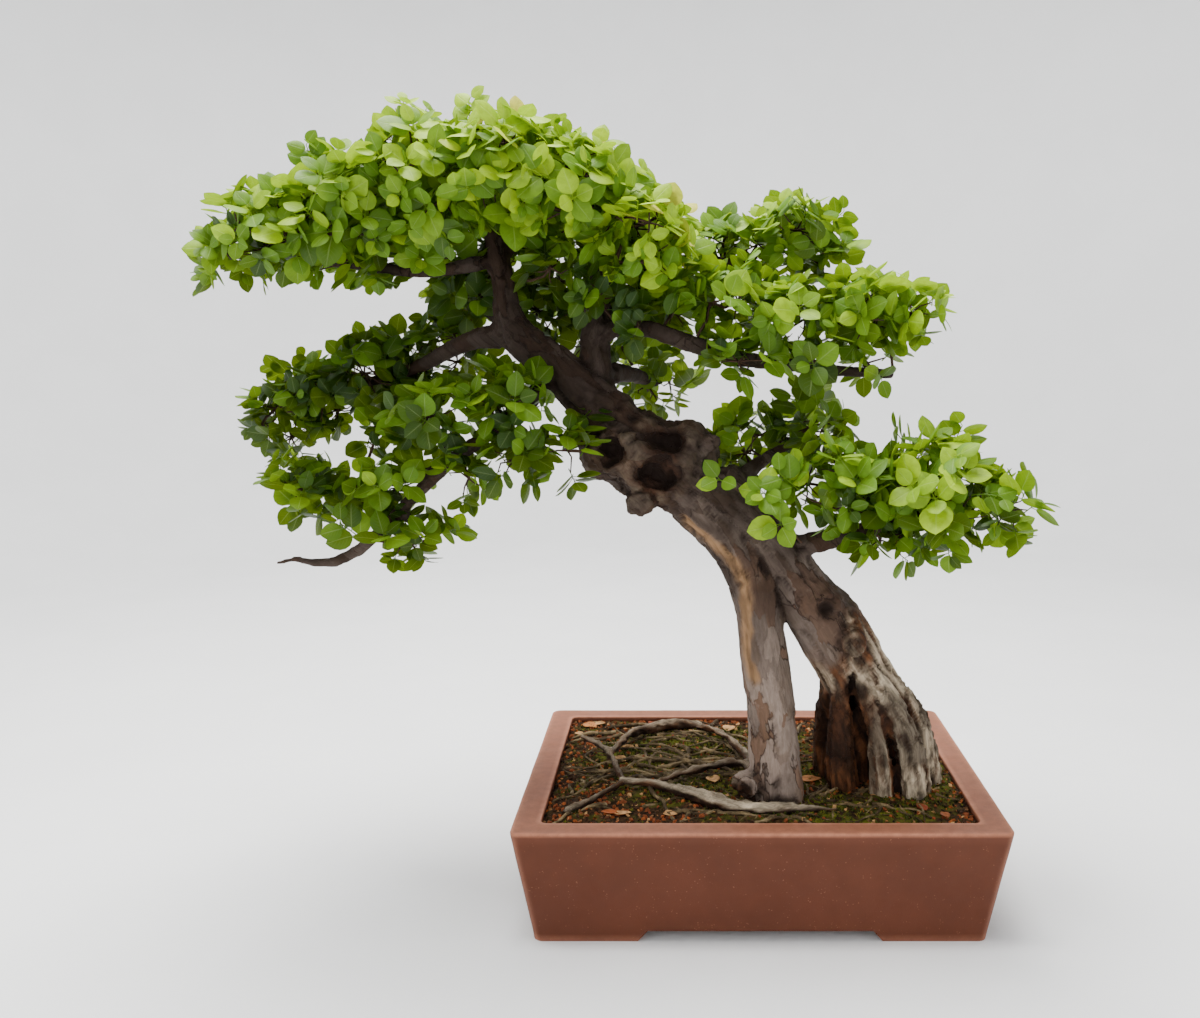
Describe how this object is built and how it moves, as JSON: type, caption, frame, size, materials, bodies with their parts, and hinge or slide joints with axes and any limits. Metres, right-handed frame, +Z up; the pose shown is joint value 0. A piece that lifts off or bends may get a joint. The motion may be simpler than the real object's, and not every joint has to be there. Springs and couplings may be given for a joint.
{
  "type": "potted bonsai tree",
  "caption": "Old leaning sweet plum bonsai with a split, hollowed trunk base and leafy tiers, growing in soil in a shallow rectangular clay pot that rests on corner feet.",
  "frame": {"origin": "middle of the whole object's box, on the surface that the pot's feet stand on", "axes": "+Z up, +X to the right along the pot's long side as seen from the front, so the tree leans towards -X, and -Y towards the viewer"},
  "size_m": [0.733, 0.3262, 0.6848],
  "materials": {
    "clay": "unglazed, matte, fine pale specks, rim worn paler",
    "screen": "matte",
    "soil": "damp dark grit with orange bits and moss",
    "bark": "rough, flaking grey-brown plates over tan underbark, bare deadwood at the base",
    "leaf_bright": "soft sheen, young yellow-green leaves",
    "leaf_middle": "soft sheen, mid-green leaves",
    "leaf_shaded": "soft sheen, dark green leaves"
  },
  "bodies": {
    "root": {"pot": "clay", "drain_screen_left": "screen", "drain_screen_right": "screen", "soil": "soil", "tree_wood": "bark", "foliage_crown_left_tip": "leaf_bright", "foliage_crown_left": "leaf_bright", "foliage_crown_top": "leaf_bright", "foliage_crown_right": "leaf_bright", "foliage_crown_under": "leaf_shaded", "foliage_right_upper": "leaf_middle", "foliage_right_middle_inner": "leaf_middle", "foliage_right_middle_outer": "leaf_bright", "foliage_right_lower_inner": "leaf_shaded", "foliage_right_lower_middle": "leaf_middle", "foliage_right_lower_outer": "leaf_bright", "foliage_left_middle_outer": "leaf_middle", "foliage_left_middle_inner": "leaf_shaded", "foliage_left_front": "leaf_middle", "foliage_left_lower_outer": "leaf_middle", "foliage_left_lower_inner": "leaf_middle", "foliage_back_right": "leaf_shaded", "foliage_back_left": "leaf_shaded"}
  },
  "joints": []
}
